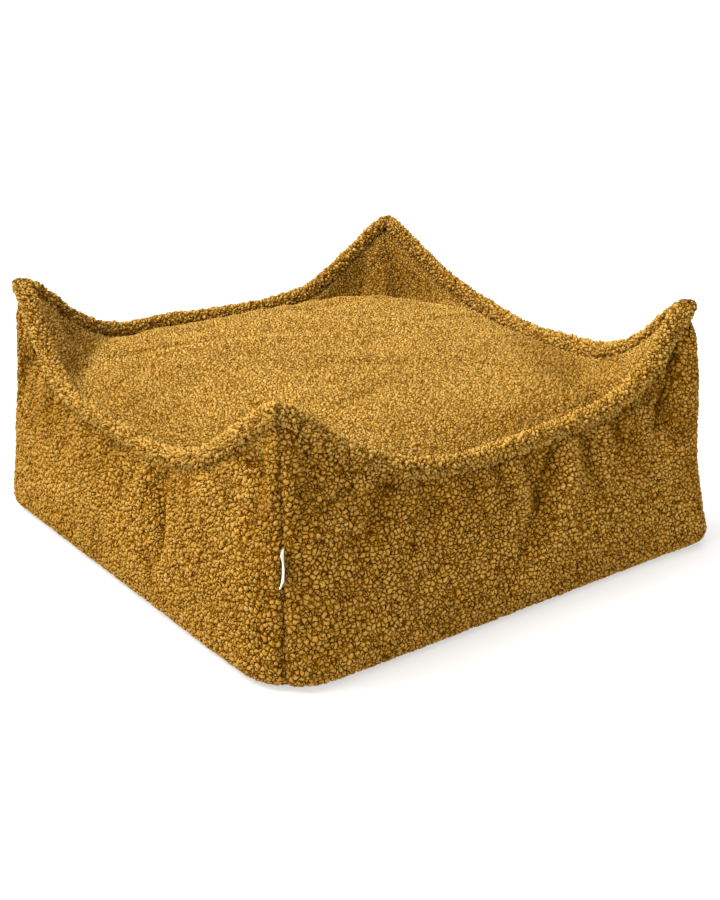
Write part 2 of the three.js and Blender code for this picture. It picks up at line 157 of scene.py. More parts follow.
def add_node(tree, kind, settings=None, inputs=None, output=0):
    """Adds a node with its settings and inputs, and gives one of its outputs."""
    node = tree.nodes.new(kind)
    for name, value in (settings or {}).items():
        setattr(node, name, value)
    for name, value in (inputs or {}).items():
        if isinstance(value, Socket):
            tree.links.new(value.output, node.inputs[name])
        else:
            node.inputs[name].default_value = value
    return Socket(tree, node.outputs[output])


def cell_pattern(tree, place, pitch, feature, output):
    settings = {"voronoi_dimensions": "3D", "feature": feature}
    return add_node(tree, "ShaderNodeTexVoronoi", settings, {"Vector": place, "Scale": 1 / pitch}, output)


def mottle(tree, place, pitch, detail=1.0, output=0):
    inputs = {"Vector": place, "Scale": 1 / pitch, "Detail": detail}
    return add_node(tree, "ShaderNodeTexNoise", {"noise_dimensions": "3D"}, inputs, output)


def drifted(tree, place, pitch, reach):
    """Places moved about by a noise, so that what is drawn from them has uneven edges."""
    drift = mottle(tree, place, pitch, output="Color")
    middle = (0.5, 0.5, 0.5)
    centred = add_node(tree, "ShaderNodeVectorMath", {"operation": "SUBTRACT"}, {0: drift, 1: middle})
    moved = add_node(tree, "ShaderNodeVectorMath", {"operation": "SCALE"}, {0: centred, "Scale": reach})
    return add_node(tree, "ShaderNodeVectorMath", {"operation": "ADD"}, {0: place, 1: moved})


def curl_pattern(tree, place):
    """The curls' height, from 0 in a crevice to 1, the way to the next crevice, and each curl's own shade."""
    uneven = drifted(tree, drifted(tree, place, *LARGE_DRIFT), *SMALL_DRIFT)
    edge = cell_pattern(tree, uneven, CURL_PITCH, "DISTANCE_TO_EDGE", "Distance")
    small_edge = cell_pattern(tree, uneven, SMALL_CURL_PITCH, "DISTANCE_TO_EDGE", "Distance")
    centre = cell_pattern(tree, uneven, CURL_PITCH, "F1", "Distance")
    kind = cell_pattern(tree, uneven, CURL_PITCH, "F1", "Color")
    own = add_node(tree, "ShaderNodeSeparateXYZ", None, {0: kind}, 0)
    whole = (mottle(tree, place, WHOLE_CURL_PITCH) * 5 - 1.7).clamped()
    gap = edge * CURL_PITCH
    split = small_edge * SMALL_CURL_PITCH + whole * WHOLE_CURL_REACH
    from_crevice = gap.sum("SMOOTH_MIN", gap, split, CREVICE_BLEND)
    slope = (from_crevice * (1 / CURL_REACH)).clamped()
    dome = (1 - centre * centre * 1.3).clamped()
    return slope * (2 - slope) * (0.60 + 0.28 * dome + 0.12 * own), from_crevice, own


def curl_tree(height, bias, fineness, crevices, ragged):
    """A Geometry Nodes tree that raises curls of a given height on a piece, less so along its seams."""
    tree = bpy.data.node_groups.new("raise_curls", "GeometryNodeTree")
    tree.interface.new_socket("Piece", in_out="INPUT", socket_type="NodeSocketGeometry")
    tree.interface.new_socket("Piece", in_out="OUTPUT", socket_type="NodeSocketGeometry")
    piece = add_node(tree, "NodeGroupInput")
    position = add_node(tree, "GeometryNodeInputPosition")
    place = add_node(tree, "ShaderNodeVectorMath", {"operation": "SCALE"}, {0: position, "Scale": fineness})
    stored = add_node(
        tree,
        "GeometryNodeStoreNamedAttribute",
        {"data_type": "FLOAT_VECTOR", "domain": "POINT"},
        {"Geometry": piece, "Name": "cloth_place", "Value": place},
    )
    marked = add_node(
        tree,
        "GeometryNodeStoreNamedAttribute",
        {"data_type": "FLOAT", "domain": "POINT"},
        {"Geometry": stored, "Name": "crevice_depth", "Value": crevices},
    )
    fullness_and_painted_shade = add_node(
        tree, "GeometryNodeInputNamedAttribute", {"data_type": "FLOAT"}, {"Name": "pile_fullness_and_painted_shade"}
    )
    curls = curl_pattern(tree, place)[0]
    swell = mottle(tree, place, SWELL_PITCH) - 0.5
    tufts = mottle(tree, position, TUFT_PITCH, 2.0) - 0.5
    lift = ((curls - bias) + swell * 0.35 + tufts * ragged) * height * fullness_and_painted_shade
    normal = add_node(tree, "GeometryNodeInputNormal")
    push = add_node(tree, "ShaderNodeVectorMath", {"operation": "SCALE"}, {0: normal, "Scale": lift})
    raised = add_node(tree, "GeometryNodeSetPosition", None, {"Geometry": marked, "Offset": push})
    out = tree.nodes.new("NodeGroupOutput")
    tree.links.new(raised.output, out.inputs[0])
    return tree


def raise_curls(piece, height, bias=0.5, fineness=1.0, crevices=1.0, ragged=0.0):
    modifier = piece.modifiers.new("curls", "NODES")
    modifier.node_group = curl_tree(height, bias, fineness, crevices, ragged)
    bpy.ops.object.select_all(action="DESELECT")
    piece.select_set(True)
    bpy.context.view_layer.objects.active = piece
    bpy.ops.object.modifier_apply(modifier=modifier.name)


def teddy_cloth():
    material = bpy.data.materials.new("teddy_cloth")
    material.use_nodes = True
    tree = material.node_tree
    shader = tree.nodes["Principled BSDF"]
    place = add_node(tree, "ShaderNodeAttribute", {"attribute_name": "cloth_place"}, None, "Vector")
    crevices = add_node(tree, "ShaderNodeAttribute", {"attribute_name": "crevice_depth"}, None, "Fac")
    # How full the pile stands. Below, it also darkens the colour where the pile is pinched, at seams, rims
    # and roll ends and over the base: painted shade.
    fullness_and_painted_shade = add_node(tree, "ShaderNodeAttribute", {"attribute_name": "pile_fullness_and_painted_shade"}, None, "Fac")
    # Painted light and shade: below one it darkens the cloth in folds, puckers and dips, and above one it
    # lightens their ridges and the rim rolls.
    lit = add_node(tree, "ShaderNodeAttribute", {"attribute_name": "painted_light_and_shade"}, None, "Fac")
    curls, from_crevice, own = curl_pattern(tree, place)
    fibre = mottle(tree, place, FIBRE_PITCH, 3.0)
    dye = mottle(tree, place, DYE_PITCH, 2.0)
    opening = (mottle(tree, place, OPENING_PITCH) * 5 - 1.4).clamped(0.45, 2.6)
    # Crevices painted dark: painted shade in the hollows between curls.
    crevice_to_side = (from_crevice * (1 / CREVICE_REACH) * opening + (fibre - 0.5) * 0.5).clamped()
    crevice_to_side = 1 - (1 - crevice_to_side) * crevices
    # Curl tops painted pale by their height: a painted highlight. The shallower crevice setting of the top
    # panel and rolls paints them paler, and painted shade pulls the colour back towards the sides' colour.
    painted_highlight = curls * 1.1 - 0.50 + (1 - crevices) * 1.6 + (lit - 1) * 0.9
    side_to_top = (painted_highlight + (fibre - 0.5) * 0.8).clamped()
    low = add_node(
        tree,
        "ShaderNodeMix",
        {"data_type": "RGBA"},
        {"Factor": crevice_to_side, 6: CURL_COLOURS["crevice"], 7: CURL_COLOURS["side"]},
        2,
    )
    full = add_node(
        tree,
        "ShaderNodeMix",
        {"data_type": "RGBA"},
        {"Factor": side_to_top, 6: low, 7: CURL_COLOURS["top"]},
        2,
    )
    # The dye and each curl's tone are the cloth's own. The other two factors are painted shade and light.
    shade = (0.86 + 0.06 * own + 0.22 * dye) * (0.30 + 0.70 * fullness_and_painted_shade) * lit
    tinted = add_node(tree, "ShaderNodeVectorMath", {"operation": "SCALE"}, {0: full, "Scale": shade})
    tree.links.new(tinted.output, shader.inputs["Base Color"])
    ridge = curls * (FLAT_CURL_RELIEF + OPEN_CURL_RELIEF * crevices) + fibre * FIBRE_RELIEF
    bump = add_node(tree, "ShaderNodeBump", None, {"Strength": 0.85, "Distance": 1.0, "Height": ridge})
    tree.links.new(bump.output, shader.inputs["Normal"])
    shader.inputs["Roughness"].default_value = 0.92
    shader.inputs["Specular IOR Level"].default_value = 0.03
    shader.inputs["Sheen Weight"].default_value = 0.02
    shader.inputs["Sheen Roughness"].default_value = 0.5
    shader.inputs["Sheen Tint"].default_value = (1.0, 0.75, 0.30, 1)
    return material


cloth = teddy_cloth()


# The filled body: its panels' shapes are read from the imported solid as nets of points, ring by ring up
# from the base's edge, so that each panel is cut along the same seams as the solid's.
RING_STEPS = 36
RING_COUNT = 16
LEDGE_RING = 14
SIDES = ["front", "right", "back", "left"]
ALONG = [Vector((1, 0, 0)), Vector((0, 1, 0)), Vector((-1, 0, 0)), Vector((0, -1, 0))]
OUTWARD = [Vector((0, -1, 0)), Vector((1, 0, 0)), Vector((0, 1, 0)), Vector((-1, 0, 0))]


def merged_copy(node):
    mesh = bmesh.new()
    mesh.from_mesh(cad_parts[node].data)
    bmesh.ops.remove_doubles(mesh, verts=mesh.verts, dist=1e-5)
    return mesh


def rings_from(first, left_out, count):
    """Rings of points, each one edge further from the first ring than the last."""
    rings = [first]
    seen = set(first) | set(left_out)
    while len(rings) < count:
        beyond = {edge.other_vert(vert) for vert in rings[-1] for edge in vert.link_edges} - seen
        seen |= beyond
        rings.append(list(beyond))
    return rings


def turned_to_fit(ring, pattern):
    """The ring's points, begun at whichever of them brings it closest to a pattern."""
    turns = [np.roll(ring, -turn, axis=0) for turn in range(-4, 5)]
    return min(turns, key=lambda turn: np.abs(turn - pattern).sum())


body_mesh = merged_copy("filled_body")
low_verts = [vert for vert in body_mesh.verts if vert.co.z < 1e-6]
base_edge = [vert for vert in low_verts if vert.co.xy.length > 0.1]
body_rings = []
for ring in rings_from(base_edge, low_verts, RING_COUNT):
    points = np.array([vert.co for vert in ring])
    turn = np.arctan2(points[:, 1], points[:, 0]) + math.radians(135)
    body_rings.append(points[np.argsort(turn % (2 * math.pi))])
ledge = body_rings[LEDGE_RING]
corner_steps = [side * RING_STEPS for side in range(4)]
starts = [np.roll(ledge, -turn, axis=0) for turn in range(-4, 5)]
best = max(starts, key=lambda ring: np.linalg.norm(ring[corner_steps, :2], axis=1).sum())
body_rings[LEDGE_RING] = best
body_rings[LEDGE_RING + 1] = turned_to_fit(body_rings[LEDGE_RING + 1], best)
for level in range(LEDGE_RING - 1, -1, -1):
    body_rings[level] = turned_to_fit(body_rings[level], body_rings[level + 1])
body_rings = np.array(body_rings)

side_nets = []
for side in range(4):
    columns = np.arange(side * RING_STEPS, (side + 1) * RING_STEPS + 1) % (4 * RING_STEPS)
    side_nets.append(body_rings[: LEDGE_RING + 1, columns])

# The top panel's net: each point of it stands over a crossing of the lines between opposite rims.
rim_line = body_rings[LEDGE_RING + 1]
top_net = np.zeros((RING_STEPS + 1, RING_STEPS + 1, 3))
columns = np.arange(RING_STEPS)
top_net[0, :RING_STEPS] = rim_line[columns]
top_net[:RING_STEPS, RING_STEPS] = rim_line[RING_STEPS + columns]
top_net[RING_STEPS, 1:][::-1] = rim_line[2 * RING_STEPS + columns]
top_net[1:, 0][::-1] = rim_line[3 * RING_STEPS + columns]
all_points = np.array([vert.co for vert in body_mesh.verts])
shares = np.arange(RING_STEPS + 1) / RING_STEPS
shares = shares - 0.1 * np.sin(2 * np.pi * shares)
above = all_points[all_points[:, 2] > 0.15]
for row in range(1, RING_STEPS):
    for column in range(1, RING_STEPS):
        x = top_net[row, 0, 0] + (top_net[row, -1, 0] - top_net[row, 0, 0]) * shares[column]
        y = top_net[0, column, 1] + (top_net[-1, column, 1] - top_net[0, column, 1]) * shares[row]
        nearest = np.argmin((above[:, 0] - x) ** 2 + (above[:, 1] - y) ** 2)
        top_net[row, column] = above[nearest]
body_mesh.free()


def respaced(net, count, closed=False):
    """A net resampled along its first direction at even distances, on a smooth curve through its points."""
    if closed:
        net = np.concatenate([net[-2:], net, net[:3]])
    steps = np.linalg.norm(np.diff(net, axis=0), axis=2).mean(axis=1)
    at = np.concatenate([[0], np.cumsum(steps)])
    first, last = (2, len(net) - 3) if closed else (0, len(net) - 1)
    wanted = np.linspace(at[first], at[last], count + 1)[:count] if closed else np.linspace(0, at[-1], count)
    slope = np.gradient(net, at, axis=0)
    index = np.clip(np.searchsorted(at, wanted, side="right") - 1, 0, len(at) - 2)
    span = (at[index + 1] - at[index])[:, None, None]
    t = ((wanted - at[index]) / (at[index + 1] - at[index]))[:, None, None]
    before, after = net[index], net[index + 1]
    lean_before, lean_after = slope[index] * span, slope[index + 1] * span
    return (
        (2 * t**3 - 3 * t**2 + 1) * before
        + (t**3 - 2 * t**2 + t) * lean_before
        + (3 * t**2 - 2 * t**3) * after
        + (t**3 - t**2) * lean_after
    )


def respaced_net(net, rows, columns, closed=False):
    wide = respaced(net.transpose(1, 0, 2), columns, closed)
    return respaced(wide.transpose(1, 0, 2), rows)


# The four side panels, cut with a concave upper edge and sewn together at the corners, where the pile is
# drawn into the seam. Each is cut a little larger than its seams, and a cloth simulation settles it into
# puckers. It is made with the share of the filling behind it, closed at its back.
GATHERS = [
    # side, share along it at the head and at the foot, head and foot as shares of the height, depth, width
    ("front", 0.17, 0.01, 0.93, 0.60, 0.0050, 0.009),
    ("front", 0.25, 0.15, 1.00, 0.64, 0.0065, 0.010),
    ("front", 0.20, 0.10, 1.00, 0.70, -0.0035, 0.009),
    ("front", 0.31, 0.30, 1.00, 0.72, 0.0045, 0.012),
    ("front", 0.39, 0.40, 1.00, 0.72, 0.0030, 0.008),
    ("front", 0.47, 0.455, 1.00, 0.70, 0.0040, 0.008),
    ("front", 0.51, 0.49, 1.00, 0.62, -0.0030, 0.009),
    ("front", 0.60, 0.50, 1.00, 0.40, 0.0085, 0.010),
    ("front", 0.635, 0.60, 1.00, 0.52, -0.0060, 0.009),
    ("front", 0.665, 0.69, 1.00, 0.60, 0.0070, 0.008),
    ("front", 0.71, 0.725, 1.00, 0.66, -0.0040, 0.008),
    ("front", 0.76, 0.74, 1.00, 0.66, 0.0045, 0.007),
    ("front", 0.80, 0.79, 1.00, 0.70, 0.0045, 0.007),
    ("front", 0.94, 0.84, 1.00, 0.60, 0.0070, 0.014),
    ("right", 0.12, 0.16, 1.00, 0.55, 0.0060, 0.011),
    ("right", 0.30, 0.33, 1.00, 0.62, 0.0055, 0.009),
    ("right", 0.36, 0.37, 1.00, 0.66, -0.0040, 0.009),
    ("right", 0.45, 0.44, 1.00, 0.70, 0.0040, 0.008),
    ("right", 0.58, 0.61, 1.00, 0.50, 0.0060, 0.010),
    ("right", 0.72, 0.70, 1.00, 0.66, 0.0040, 0.008),
    ("right", 0.88, 0.83, 1.00, 0.60, 0.0060, 0.011),
    ("back", 0.10, 0.15, 1.00, 0.60, 0.0060, 0.011),
    ("back", 0.24, 0.26, 1.00, 0.66, 0.0040, 0.009),
    ("back", 0.38, 0.36, 1.00, 0.55, 0.0060, 0.010),
    ("back", 0.43, 0.42, 1.00, 0.66, -0.0040, 0.009),
    ("back", 0.56, 0.57, 1.00, 0.68, 0.0045, 0.008),
    ("back", 0.70, 0.67, 1.00, 0.52, 0.0060, 0.010),
    ("back", 0.90, 0.86, 1.00, 0.60, 0.0060, 0.012),
    ("left", 0.12, 0.09, 1.00, 0.60, 0.0060, 0.014),
    ("left", 0.20, 0.22, 1.00, 0.62, 0.0035, 0.010),
    ("left", 0.29, 0.27, 1.00, 0.68, 0.0050, 0.012),
    ("left", 0.38, 0.39, 1.00, 0.74, 0.0035, 0.009),
    ("left", 0.47, 0.46, 1.00, 0.76, 0.0035, 0.009),
    ("left", 0.595, 0.54, 1.00, 0.60, -0.0040, 0.010),
    ("left", 0.642, 0.652, 1.00, 0.48, 0.0065, 0.009),
    ("left", 0.79, 0.81, 0.97, 0.62, -0.0035, 0.022),
    ("left", 0.95, 0.93, 0.96, 0.50, 0.0045, 0.010),
]
SIDE_ROWS = 169
SIDE_COLUMNS = 451
PANEL_CURLS = 0.0036
SEAM_PINCH = 0.0045
SEAM_DEPTH = 0.0028
SEAM_REACH = 0.0055
BACK_DEPTH = 0.014
BACK_ROWS = 13
BACK_COLUMNS = 31
SETTLING_ROWS = 61
SETTLING_COLUMNS = 121
SETTLING_FRAMES = 20
FILLING_PRESSURE = 4
CLOTH_SLACK = 0.02
PUCKER_CAP = 0.005
PUCKER_FADES = {"base": 0.09, "rim": 0.006, "corner": 0.03}
FOLD_SHADE = 42
SIDE_SHADES = (0.6, 1.12)
BASE_PINCH = 0.02


def grid_piece(name, net):
    """A grid laid on a net of points."""
    rows, columns = net.shape[:2]
    bpy.ops.object.select_all(action="DESELECT")
    bpy.ops.mesh.primitive_grid_add(x_subdivisions=columns - 1, y_subdivisions=rows - 1, size=1)
    piece = bpy.context.object
    piece.name = name
    piece.data.name = name
    piece.data.vertices.foreach_set("co", net.reshape(-1, 3).astype(np.float32).ravel())
    return piece


def edge_distances(net):
    """How far each point of a net lies from its edges: first row, last row, first column, last column."""
    down = np.linalg.norm(np.diff(net, axis=0), axis=2)
    across = np.linalg.norm(np.diff(net, axis=1), axis=2)
    from_first_row = np.concatenate([np.zeros((1, net.shape[1])), np.cumsum(down, axis=0)])
    from_first_column = np.concatenate([np.zeros((net.shape[0], 1)), np.cumsum(across, axis=1)], axis=1)
    return (
        from_first_row,
        from_first_row[-1:] - from_first_row,
        from_first_column,
        from_first_column[:, -1:] - from_first_column,
    )


def smooth_step(value):
    value = np.clip(value, 0, 1)
    return value * value * (3 - 2 * value)


def gathered(side, share, level, length):
    """How far the gathers under a rim draw a side panel in, at each point of its net."""
    total = np.zeros(share.shape)
    for name, at, foot_at, head, foot, depth, width in GATHERS:
        if name == SIDES[side]:
            fallen = (head - level) / (head - foot)
            spread = 1 + 0.6 * np.clip(fallen, 0, 1)
            across = (share - at - (foot_at - at) * np.clip(fallen, -0.2, 1.3)) * length / (width * spread)
            fade = smooth_step(fallen / 0.14) * (1 - smooth_step((fallen - 0.3) / 0.9))
            total += depth * fade * np.exp(-(across**2))
    return total


def softened(net, reach):
    """A net in which each point is drawn to the mean of those within so many steps of it."""
    weights = np.exp(-(np.linspace(-2, 2, 2 * reach + 1) ** 2))
    weights = weights / weights.sum()
    for axis in (0, 1):
        sides = [(0, 0), (0, 0), (0, 0)]
        sides[axis] = (reach, reach)
        wide = np.pad(net, sides, mode="edge")
        steps = np.arange(net.shape[axis])
        net = sum(weight * np.take(wide, steps + step, axis=axis) for step, weight in enumerate(weights))
    return net


def settled(net):
    """The puckers of a panel cut larger than its seams: cloth pressed out by the filling, edges held."""
    piece = grid_piece("settling_cloth", net)
    places = np.arange(net.shape[0] * net.shape[1]).reshape(net.shape[:2])
    edges = np.concatenate([places[0], places[-1], places[:, 0], places[:, -1]])
    seams = piece.vertex_groups.new(name="seams")
    seams.add(edges.tolist(), 1.0, "REPLACE")
    simulation = piece.modifiers.new("settling", "CLOTH")
    simulation.settings.quality = 6
    simulation.settings.mass = 0.3
    simulation.settings.tension_stiffness = 15
    simulation.settings.compression_stiffness = 15
    simulation.settings.bending_stiffness = 0.5
    simulation.settings.use_pressure = True
    simulation.settings.uniform_pressure_force = FILLING_PRESSURE
    simulation.settings.vertex_group_mass = "seams"
    simulation.settings.shrink_min = -CLOTH_SLACK
    simulation.settings.shrink_max = -CLOTH_SLACK
    simulation.settings.effector_weights.gravity = 0
    simulation.collision_settings.use_collision = False
    for moment in range(1, SETTLING_FRAMES + 1):
        bpy.context.scene.frame_set(moment)
    settled_piece = piece.evaluated_get(bpy.context.evaluated_depsgraph_get())
    points = np.empty(net.size, np.float32)
    settled_piece.data.vertices.foreach_get("co", points)
    bpy.data.objects.remove(piece)
    bpy.context.scene.frame_set(1)
    moved = points.reshape(net.shape) - net
    puckers = softened(moved, 2) - softened(moved, 10)
    length = np.linalg.norm(puckers, axis=2)[..., None]
    return puckers * np.minimum(1, PUCKER_CAP / np.maximum(length, 1e-6))


def set_pile_and_painted_shade(piece, fullness_and_painted_shade, shade):
    """Stores how full the pile stands at each point, which also paints shade, and the painted light and shade
    of the cloth there.
    """
    for name, values in (("pile_fullness_and_painted_shade", fullness_and_painted_shade), ("painted_light_and_shade", shade)):
        attribute = piece.data.attributes.new(name, "FLOAT", "POINT")
        attribute.data.foreach_set("value", values.astype(np.float32).ravel())


def close_back(piece, shape, back):
    """Closes a grid behind with a coarser grid, joined to every so many points of its border."""
    rows, columns = shape[:2]
    back_rows, back_columns = back.shape[:2]
    row_step = (rows - 1) // (back_rows - 1)
    column_step = (columns - 1) // (back_columns - 1)
    mesh = bmesh.new()
    mesh.from_mesh(piece.data)
    mesh.verts.ensure_lookup_table()
    front = list(mesh.verts)
    behind = [[mesh.verts.new(place) for place in line] for line in back]
    for row in range(back_rows - 1):
        for column in range(back_columns - 1):
            low, high = behind[row], behind[row + 1]
            mesh.faces.new((low[column], high[column], high[column + 1], low[column + 1]))
    for row in (0, back_rows - 1):
        first = row * row_step * columns
        for column in range(back_columns - 1):
            start = first + column * column_step
            strip = front[start : start + column_step + 1]
            mesh.faces.new(strip + [behind[row][column + 1], behind[row][column]])
    for column in (0, back_columns - 1):
        for row in range(back_rows - 1):
            start = row * row_step * columns + column * column_step
            strip = front[start : start + row_step * columns + 1 : columns]
            mesh.faces.new(strip + [behind[row + 1][column], behind[row][column]])
    bmesh.ops.recalc_face_normals(mesh, faces=mesh.faces)
    mesh.to_mesh(piece.data)
    mesh.free()
    bpy.ops.object.select_all(action="DESELECT")
    piece.select_set(True)
    bpy.context.view_layer.objects.active = piece
    bpy.ops.object.shade_smooth()


def rest_on_floor(piece):
    points = np.empty(len(piece.data.vertices) * 3, np.float32)
    piece.data.vertices.foreach_get("co", points)
    points = points.reshape(-1, 3)
    points[:, 2] = np.maximum(points[:, 2], 0.0)
    piece.data.vertices.foreach_set("co", points.ravel())
    piece.data.update()


def dress(piece, slot, material, *nodes):
    piece.data.materials.clear()
    piece.data.materials.append(material)
    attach(piece, "root")
    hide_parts(*nodes)


for side, net in enumerate(side_nets):
    coarse = respaced_net(net, SETTLING_ROWS, SETTLING_COLUMNS)
    bottom, top, first, last = edge_distances(coarse)
    loose = smooth_step(bottom / PUCKER_FADES["base"]) * smooth_step(top / PUCKER_FADES["rim"])
    loose = loose * smooth_step(np.minimum(first, last) / PUCKER_FADES["corner"])
    puckered = coarse + settled(coarse) * loose[..., None]
    plain = respaced_net(coarse, SIDE_ROWS, SIDE_COLUMNS)
    fine = respaced_net(puckered, SIDE_ROWS, SIDE_COLUMNS)
    sunk = (plain - fine) @ np.array(OUTWARD[side])
    bottom, top, first, last = edge_distances(plain)
    seam = np.minimum(first, last)
    for away, neighbour in ((first, side - 1), (last, (side + 1) % 4)):
        inward = -np.array(OUTWARD[side] + OUTWARD[neighbour]) / math.sqrt(2)
        fine = fine + np.exp(-((away / SEAM_REACH) ** 2))[..., None] * inward * SEAM_DEPTH
    drawn_in = gathered(side, first / (first + last), bottom / (bottom + top), first + last)
    fine = fine - drawn_in[..., None] * np.array(OUTWARD[side])
    panel = grid_piece(f"side_panel_{SIDES[side]}", fine)
    # The pile is pinched at the corner seams and along the base's edge, and its colour is darkened there too:
    # painted shade.
    fullness_and_painted_shade = 0.3 + 0.7 * np.clip(seam / SEAM_PINCH, 0, 1) ** 0.5
    fullness_and_painted_shade = fullness_and_painted_shade * np.clip(0.3 + bottom / BASE_PINCH, 0, 1)
    # Where gathers and puckers draw the panel in, the cloth is painted darker, and where they stand out it is
    # painted lighter: painted shade and light.
    set_pile_and_painted_shade(panel, fullness_and_painted_shade, np.clip(1 - FOLD_SHADE * (drawn_in + sunk), *SIDE_SHADES))
    raise_curls(panel, PANEL_CURLS)
    inner = respaced_net(net, SETTLING_ROWS, BACK_COLUMNS)[2:-4]
    back = respaced_net(inner, BACK_ROWS, BACK_COLUMNS)
    back = back - np.array(OUTWARD[side]) * BACK_DEPTH
    close_back(panel, fine.shape, back)
    rest_on_floor(panel)
    dress(panel, "teddy_cloth", cloth, "filled_body")


# The top panel, one square of the cloth with a point at each corner, lifted by the filling into a crown.
# It settles into puckers like the side panels, and soft folds are laid in it, deepest before the back peak,
# with their hollows painted darker and their ridges lighter as painted shade and light.
TOP_STEPS = 305
TOP_SETTLING_STEPS = 77
TOP_BACK_STEP = 16
TOP_RIM_FADE = 0.015
TOP_FOLD_SHADE = 21
TOP_SHADES = (0.74, 1.10)
TOP_SEAM_PINCH = 0.008
TOP_CURLS = 0.0034
TOP_FOLDS = [
    # middle, degrees its length is turned from X, half length and half width, and how far it rises
    ((0.222, 0.226), -45, 0.070, 0.022, -0.016),
    ((0.250, 0.250), -45, 0.110, 0.045, -0.011),
    ((0.190, 0.262), 5, 0.036, 0.013, -0.012),
    ((0.262, 0.226), 75, 0.036, 0.012, -0.010),
    ((0.240, 0.262), 40, 0.034, 0.009, 0.008),
    ((-0.245, 0.258), 60, 0.024, 0.011, -0.006),
    ((-0.236, 0.232), 45, 0.045, 0.016, -0.003),
    ((0.212, -0.180), 60, 0.110, 0.044, -0.011),
    ((0.080, -0.262), 0, 0.130, 0.018, -0.005),
    ((-0.262, 0.060), 90, 0.120, 0.018, -0.004),
    ((-0.150, 0.170), -18, 0.110, 0.011, -0.005),
    ((-0.090, 0.120), -24, 0.130, 0.013, 0.005),
    ((0.030, -0.060), -38, 0.110, 0.013, -0.0045),
    ((0.120, 0.060), -50, 0.090, 0.014, 0.005),
    ((-0.060, -0.120), 20, 0.070, 0.011, -0.0045),
    ((0.110, 0.200), -8, 0.080, 0.012, -0.005),
]
coarse = respaced_net(top_net, TOP_SETTLING_STEPS, TOP_SETTLING_STEPS)
rim = np.minimum.reduce(edge_distances(coarse))
puckered = coarse + settled(coarse) * smooth_step(rim / TOP_RIM_FADE)[..., None]
plain = respaced_net(coarse, TOP_STEPS, TOP_STEPS)
fine = respaced_net(puckered, TOP_STEPS, TOP_STEPS)
rim = np.minimum.reduce(edge_distances(plain))
raised = (fine - plain)[..., 2]
sculpted = np.zeros(rim.shape)
for (x, y), turn, length, width, rise in TOP_FOLDS:
    turned = math.radians(turn)
    east, north = fine[..., 0] - x, fine[..., 1] - y
    along = (east * math.cos(turned) + north * math.sin(turned)) / length
    across = (north * math.cos(turned) - east * math.sin(turned)) / width
    sculpted += rise * smooth_step(rim / TOP_RIM_FADE) * np.exp(-(along**2) - across**2)
fine[..., 2] += sculpted
raised = raised + sculpted
panel = grid_piece("top_panel", fine)
# The pile is pinched flat along the rim, and its colour is darkened there: painted shade under the rolls.
fullness_and_painted_shade = np.clip(0.2 + rim / TOP_SEAM_PINCH, 0, 1)
# Where puckers and folds sink the top, deepest before the back peak, it is painted darker, and where they
# rise it is painted lighter: painted shade and light.
set_pile_and_painted_shade(panel, fullness_and_painted_shade, np.clip(1 + TOP_FOLD_SHADE * raised, *TOP_SHADES))
# Besides lowering the relief, the shallower crevice setting paints the top panel paler than the sides and its
# crevices less dark: painted light from above.
raise_curls(panel, TOP_CURLS, fineness=1.3, crevices=0.88)
close_back(panel, fine.shape, fine[::TOP_BACK_STEP, ::TOP_BACK_STEP] - np.array((0, 0, BACK_DEPTH)))
dress(panel, "teddy_cloth", cloth, "filled_body")


# The base panel, which the photograph doesn't show: one square of the same cloth, sewn to the side panels
# along the base's edge and pressed flat by the floor.
BASE_STEPS = 97
BASE_BACK_STEPS = 13
BASE_BACK_SHARE = 0.98
ring = body_rings[0]
base_net = np.zeros((RING_STEPS + 1, RING_STEPS + 1, 3))
columns = np.arange(RING_STEPS)
base_net[0, :RING_STEPS] = ring[columns]
base_net[:RING_STEPS, RING_STEPS] = ring[RING_STEPS + columns]
base_net[RING_STEPS, 1:][::-1] = ring[2 * RING_STEPS + columns]
base_net[1:, 0][::-1] = ring[3 * RING_STEPS + columns]
for row in range(1, RING_STEPS):
    for column in range(1, RING_STEPS):
        across = base_net[row, 0] + (base_net[row, -1] - base_net[row, 0]) * shares[column]
        down = base_net[0, column] + (base_net[-1, column] - base_net[0, column]) * shares[row]
        base_net[row, column] = (across[0], down[1], 0)
fine = respaced_net(base_net, BASE_STEPS, BASE_STEPS)
base = grid_piece("base_panel", fine)
bpy.ops.object.mode_set(mode="EDIT")
bpy.ops.mesh.select_all(action="SELECT")
bpy.ops.mesh.flip_normals()
bpy.ops.object.mode_set(mode="OBJECT")
# With no pile standing, the base's colour is also darkened to three tenths: painted shade on the underside.
set_pile_and_painted_shade(base, np.zeros(fine.shape[:2]), np.ones(fine.shape[:2]))
raise_curls(base, 0.0)
back = respaced_net(base_net, BASE_BACK_STEPS, BASE_BACK_STEPS) * BASE_BACK_SHARE
close_back(base, fine.shape, back + np.array((0, 0, BACK_DEPTH)))
dress(base, "teddy_cloth", cloth, "filled_body")


# The four rim rolls: along each upper edge the seam allowances of the top and side panels are turned
# outward and top-stitched into a round roll of the same cloth, on which the pile stands open and ragged.
ROLL_POINTS = 9
ROLL_SECTIONS = 37
ROLL_ROWS = 40
ROLL_COLUMNS = 400
ROLL_CURLS = 0.0056
ROLL_END_PINCH = 0.008
ROLL_PAINTED_LIGHT = 1.08

